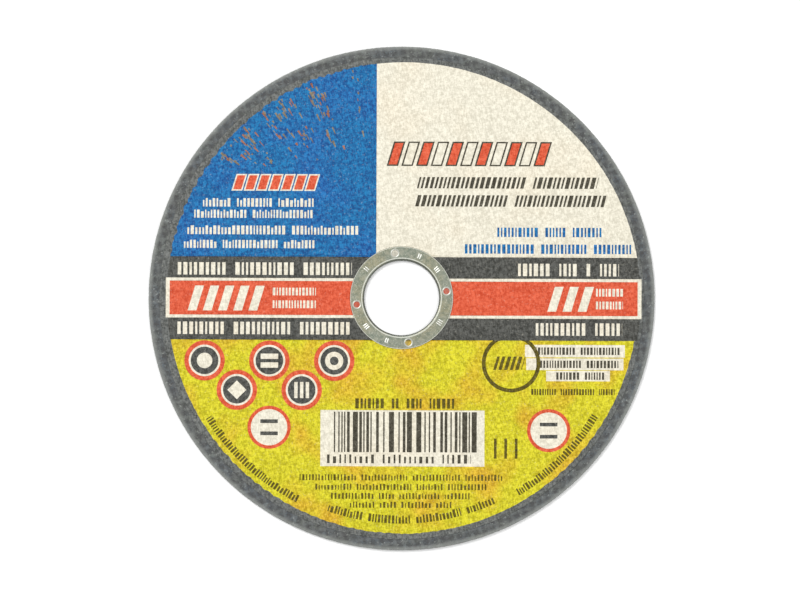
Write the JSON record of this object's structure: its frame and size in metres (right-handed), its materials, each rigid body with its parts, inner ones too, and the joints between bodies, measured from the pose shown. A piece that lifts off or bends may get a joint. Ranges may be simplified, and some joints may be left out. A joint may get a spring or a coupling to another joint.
{
  "type": "cut-off wheel",
  "caption": "Thin flat abrasive cut-off wheel with a printed paper label and a pressed steel ring that lines its arbor bore, for cutting metal on an angle grinder.",
  "frame": {"origin": "on the bore axis, in the plane of the wheel's back face", "axes": "+Z along the bore axis and out of the labelled face, +Y to the top of the print, +X to its right"},
  "size_m": [0.15, 0.15, 0.0015],
  "materials": {
    "grit": "dark grey resin bonded grit, pressed with a glass net",
    "label": "printed paper in blue, cream, black, red and yellow",
    "steel": "satin plated sheet steel"
  },
  "bodies": {
    "root": {"abrasive_disc": "grit", "paper_label": "label", "arbor_ring": "steel"}
  },
  "joints": []
}
